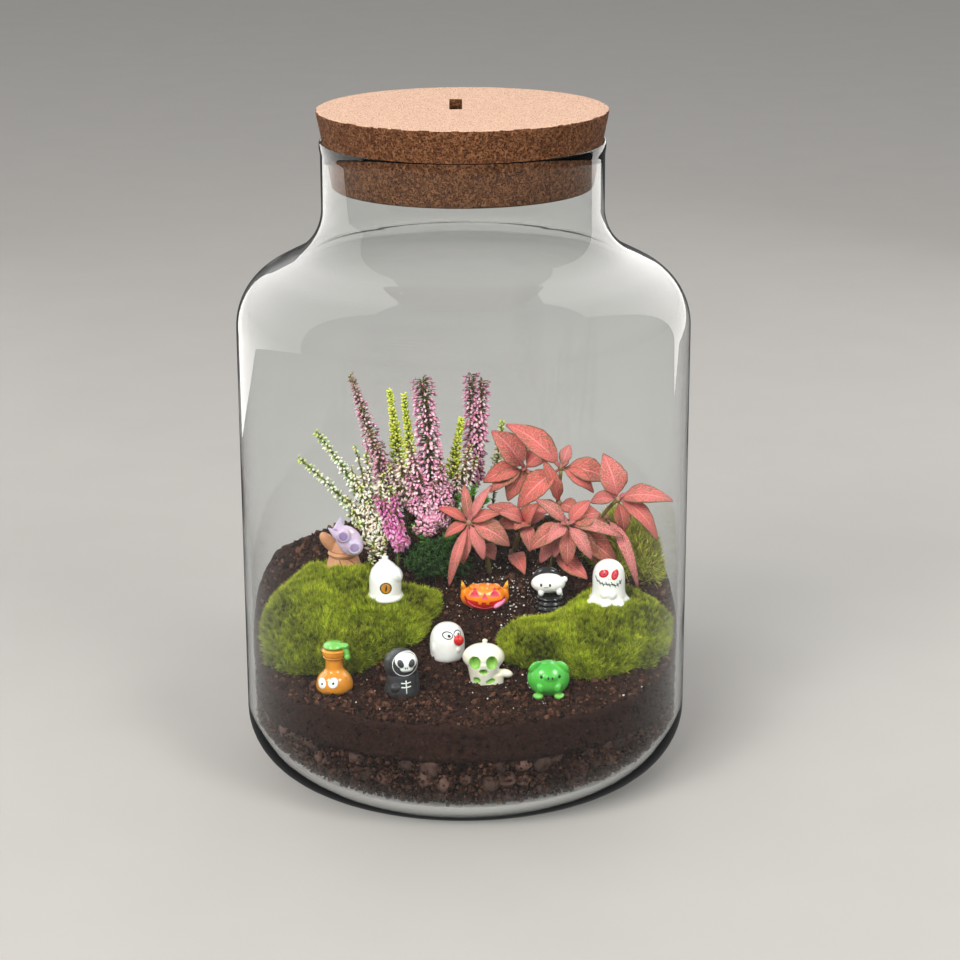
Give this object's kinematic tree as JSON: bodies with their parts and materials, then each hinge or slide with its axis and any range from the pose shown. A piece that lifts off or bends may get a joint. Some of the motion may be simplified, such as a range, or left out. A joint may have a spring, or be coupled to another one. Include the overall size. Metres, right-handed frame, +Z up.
{
  "type": "corked glass plant terrarium",
  "caption": "Round-shouldered clear glass jar with a cork stopper, planted with moss, heather and a nerve plant on soil over clay pebbles, with small Halloween miniatures standing inside.",
  "frame": {"origin": "centre of the jar's flat foot, on the surface it stands on", "axes": "+Z up along the jar's axis, -Y towards the front that the picture shows, +X to the right seen from the front"},
  "size_m": [0.2, 0.2, 0.2986],
  "materials": {
    "jar_glass": "clear blown glass, polished",
    "cork": "agglomerated cork, matt",
    "clay_pebbles": "fired clay, matt",
    "soil": "dark crumbly potting soil, matt",
    "moss": "soft living moss, matt",
    "moss_coarse": "stringy living moss, matt",
    "heather_green": "thin green shoots, matt",
    "heather_dusky": "dusky pink buds, matt",
    "heather_lime": "lime green buds, matt",
    "heather_white": "cream white buds, matt",
    "heather_magenta": "magenta buds, matt",
    "heather_pink": "pink buds, matt",
    "heather_foliage": "dark green needle leaves, matt",
    "nerve_leaf": "coral pink leaves with olive veins, satin",
    "mini_tan": "glossy moulded resin",
    "mini_white": "glossy moulded resin",
    "mini_orange": "glossy moulded resin",
    "mini_black": "glossy moulded resin",
    "mini_ivory": "glossy moulded resin",
    "mini_green": "glossy moulded resin",
    "mini_amber": "glossy moulded resin",
    "mini_lilac": "translucent moulded resin"
  },
  "bodies": {
    "root": {"jar_glass": "jar_glass", "cork_stopper": "cork", "clay_pebbles": "clay_pebbles", "soil": "soil", "moss_left": "moss", "moss_right": "moss", "moss_back": "moss_coarse", "heather_green_outer": "heather_green", "heather_green_inner": "heather_green", "heather_dusky": "heather_dusky", "heather_lime_tall": "heather_lime", "heather_lime_slim": "heather_lime", "heather_lime_right": "heather_lime", "heather_white_tip": "heather_white", "heather_cream": "heather_white", "heather_magenta": "heather_magenta", "heather_pink_spire": "heather_pink", "heather_pink_pair": "heather_pink", "heather_foliage": "heather_foliage", "nerve_stem_back": "nerve_leaf", "nerve_stem_tall": "nerve_leaf", "nerve_stem_right": "nerve_leaf", "nerve_stem_middle": "nerve_leaf", "nerve_stem_left": "nerve_leaf", "nerve_stem_low": "nerve_leaf", "mini_robed": "mini_tan", "mini_hooded_ghost": "mini_white", "mini_pumpkin": "mini_orange", "mini_rings": "mini_black", "mini_stitched_ghost": "mini_white", "mini_round_ghost": "mini_white", "mini_skull": "mini_ivory", "mini_round_animal": "mini_green", "mini_flask": "mini_amber", "mini_skeleton": "mini_black", "mini_robed_mask": "mini_lilac", "mini_pillow_creature": "mini_white", "mini_flask_slime": "mini_green"}
  },
  "joints": []
}
